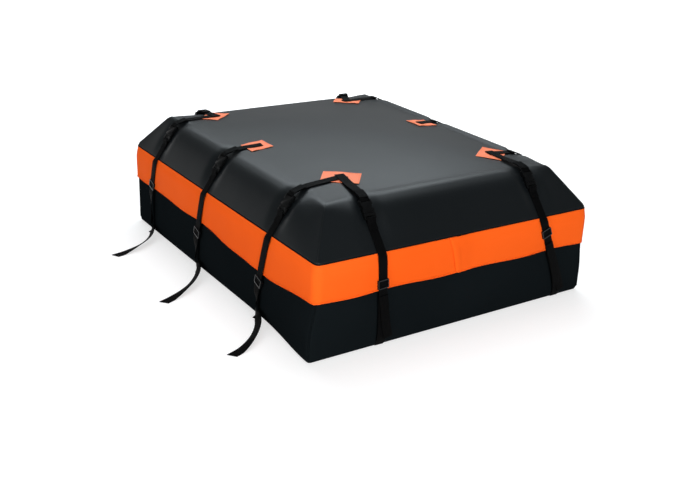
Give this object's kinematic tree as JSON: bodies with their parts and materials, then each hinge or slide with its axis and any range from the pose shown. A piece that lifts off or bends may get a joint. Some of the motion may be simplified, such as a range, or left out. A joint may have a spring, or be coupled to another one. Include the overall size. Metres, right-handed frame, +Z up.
{
  "type": "roof cargo bag",
  "caption": "Soft rectangular roof bag of coated cloth with a sloping lid, a storm flap over its zipper, and buckled webbing straps sewn to patches on top.",
  "frame": {"origin": "middle of the floor, at the height of the surface that the bag stands on", "axes": "+Z up; +Y along the bag towards the back wall, so the short front wall where the storm flap's ends lap faces -Y; the wall with the loose strap tails faces -X"},
  "size_m": [1.0484, 1.082, 0.369],
  "materials": {
    "black_cloth": "coated cloth, satin",
    "orange_cloth": "coated cloth, satin",
    "orange_patch": "coated cloth, matt",
    "webbing": "woven webbing",
    "black_plastic": "satin moulded plastic",
    "zipper_metal": "dark painted metal"
  },
  "bodies": {
    "bag": {"tub": "black_cloth", "lid": "black_cloth", "storm_flap": "orange_cloth", "patch_left_front": "orange_patch", "anchor_strap_left_front": "webbing", "patch_right_front": "orange_patch", "anchor_strap_right_front": "webbing", "patch_left_back": "orange_patch", "anchor_strap_left_back": "webbing", "patch_right_back": "orange_patch", "anchor_strap_right_back": "webbing", "patch_left_middle": "orange_patch", "anchor_strap_left_middle": "webbing", "patch_right_middle": "orange_patch", "anchor_strap_right_middle": "webbing", "webbing_left_front": "webbing", "buckle_socket_left_front": "black_plastic", "webbing_left_middle": "webbing", "buckle_socket_left_middle": "black_plastic", "webbing_left_back": "webbing", "buckle_socket_left_back": "black_plastic", "webbing_right_front": "webbing", "buckle_socket_right_front": "black_plastic", "webbing_right_middle": "webbing", "buckle_socket_right_middle": "black_plastic", "webbing_right_back": "webbing", "buckle_socket_right_back": "black_plastic", "webbing_front_left": "webbing", "buckle_socket_front_left": "black_plastic", "webbing_front_right": "webbing", "buckle_socket_front_right": "black_plastic", "webbing_back_left": "webbing", "buckle_socket_back_left": "black_plastic", "webbing_back_right": "webbing", "buckle_socket_back_right": "black_plastic", "strap_tail_front": "webbing", "strap_tail_middle": "webbing", "strap_tail_back": "webbing"},
    "zipper_left": {"zip_slider_left": "zipper_metal"},
    "zipper_right": {"zip_slider_right": "zipper_metal"},
    "plug_left_front": {"buckle_plug_left_front": "black_plastic"},
    "slider_left_front": {"strap_slider_left_front": "black_plastic"},
    "plug_left_middle": {"buckle_plug_left_middle": "black_plastic"},
    "slider_left_middle": {"strap_slider_left_middle": "black_plastic"},
    "plug_left_back": {"buckle_plug_left_back": "black_plastic"},
    "slider_left_back": {"strap_slider_left_back": "black_plastic"},
    "plug_right_front": {"buckle_plug_right_front": "black_plastic"},
    "slider_right_front": {"strap_slider_right_front": "black_plastic"},
    "plug_right_middle": {"buckle_plug_right_middle": "black_plastic"},
    "slider_right_middle": {"strap_slider_right_middle": "black_plastic"},
    "plug_right_back": {"buckle_plug_right_back": "black_plastic"},
    "slider_right_back": {"strap_slider_right_back": "black_plastic"},
    "plug_front_left": {"buckle_plug_front_left": "black_plastic"},
    "slider_front_left": {"strap_slider_front_left": "black_plastic"},
    "plug_front_right": {"buckle_plug_front_right": "black_plastic"},
    "slider_front_right": {"strap_slider_front_right": "black_plastic"},
    "plug_back_left": {"buckle_plug_back_left": "black_plastic"},
    "slider_back_left": {"strap_slider_back_left": "black_plastic"},
    "plug_back_right": {"buckle_plug_back_right": "black_plastic"},
    "slider_back_right": {"strap_slider_back_right": "black_plastic"}
  },
  "joints": [
    {"name": "zipper_left_slide", "type": "slide", "parent": "bag", "child": "zipper_left", "axis": [-1, 0, 0], "range_m": [0, 0.34]},
    {"name": "zipper_right_slide", "type": "slide", "parent": "bag", "child": "zipper_right", "axis": [1, 0, 0], "range_m": [0, 0.43]},
    {"name": "buckle_left_front_release", "type": "slide", "parent": "bag", "child": "plug_left_front", "axis": [-0.5767, 0, -0.817], "range_m": [0, 0.03]},
    {"name": "strap_slider_left_front_slide", "type": "slide", "parent": "bag", "child": "slider_left_front", "axis": [0, 0.309, -0.9511], "range_m": [-0.012, 0.012]},
    {"name": "buckle_left_middle_release", "type": "slide", "parent": "bag", "child": "plug_left_middle", "axis": [-0.5767, 0, -0.817], "range_m": [0, 0.03]},
    {"name": "strap_slider_left_middle_slide", "type": "slide", "parent": "bag", "child": "slider_left_middle", "axis": [0, 0.309, -0.9511], "range_m": [-0.012, 0.012]},
    {"name": "buckle_left_back_release", "type": "slide", "parent": "bag", "child": "plug_left_back", "axis": [-0.5767, 0, -0.817], "range_m": [0, 0.03]},
    {"name": "strap_slider_left_back_slide", "type": "slide", "parent": "bag", "child": "slider_left_back", "axis": [0, 0.309, -0.9511], "range_m": [-0.012, 0.012]},
    {"name": "buckle_right_front_release", "type": "slide", "parent": "bag", "child": "plug_right_front", "axis": [0.5767, 0, -0.817], "range_m": [0, 0.03]},
    {"name": "strap_slider_right_front_slide", "type": "slide", "parent": "bag", "child": "slider_right_front", "axis": [0, 0, -1], "range_m": [-0.012, 0.012]},
    {"name": "buckle_right_middle_release", "type": "slide", "parent": "bag", "child": "plug_right_middle", "axis": [0.5767, 0, -0.817], "range_m": [0, 0.03]},
    {"name": "strap_slider_right_middle_slide", "type": "slide", "parent": "bag", "child": "slider_right_middle", "axis": [0, 0, -1], "range_m": [-0.012, 0.012]},
    {"name": "buckle_right_back_release", "type": "slide", "parent": "bag", "child": "plug_right_back", "axis": [0.5767, 0, -0.817], "range_m": [0, 0.03]},
    {"name": "strap_slider_right_back_slide", "type": "slide", "parent": "bag", "child": "slider_right_back", "axis": [0, 0, -1], "range_m": [-0.012, 0.012]},
    {"name": "buckle_front_left_release", "type": "slide", "parent": "bag", "child": "plug_front_left", "axis": [0, -0.6532, -0.7572], "range_m": [0, 0.03]},
    {"name": "strap_slider_front_left_slide", "type": "slide", "parent": "bag", "child": "slider_front_left", "axis": [0.0698, 0, -0.9976], "range_m": [-0.012, 0.012]},
    {"name": "buckle_front_right_release", "type": "slide", "parent": "bag", "child": "plug_front_right", "axis": [0, -0.6532, -0.7572], "range_m": [0, 0.03]},
    {"name": "strap_slider_front_right_slide", "type": "slide", "parent": "bag", "child": "slider_front_right", "axis": [0.3584, 0, -0.9336], "range_m": [-0.012, 0.012]},
    {"name": "buckle_back_left_release", "type": "slide", "parent": "bag", "child": "plug_back_left", "axis": [0, 0.6532, -0.7572], "range_m": [0, 0.03]},
    {"name": "strap_slider_back_left_slide", "type": "slide", "parent": "bag", "child": "slider_back_left", "axis": [0, 0, -1], "range_m": [-0.012, 0.012]},
    {"name": "buckle_back_right_release", "type": "slide", "parent": "bag", "child": "plug_back_right", "axis": [0, 0.6532, -0.7572], "range_m": [0, 0.03]},
    {"name": "strap_slider_back_right_slide", "type": "slide", "parent": "bag", "child": "slider_back_right", "axis": [0, 0, -1], "range_m": [-0.012, 0.012]}
  ]
}
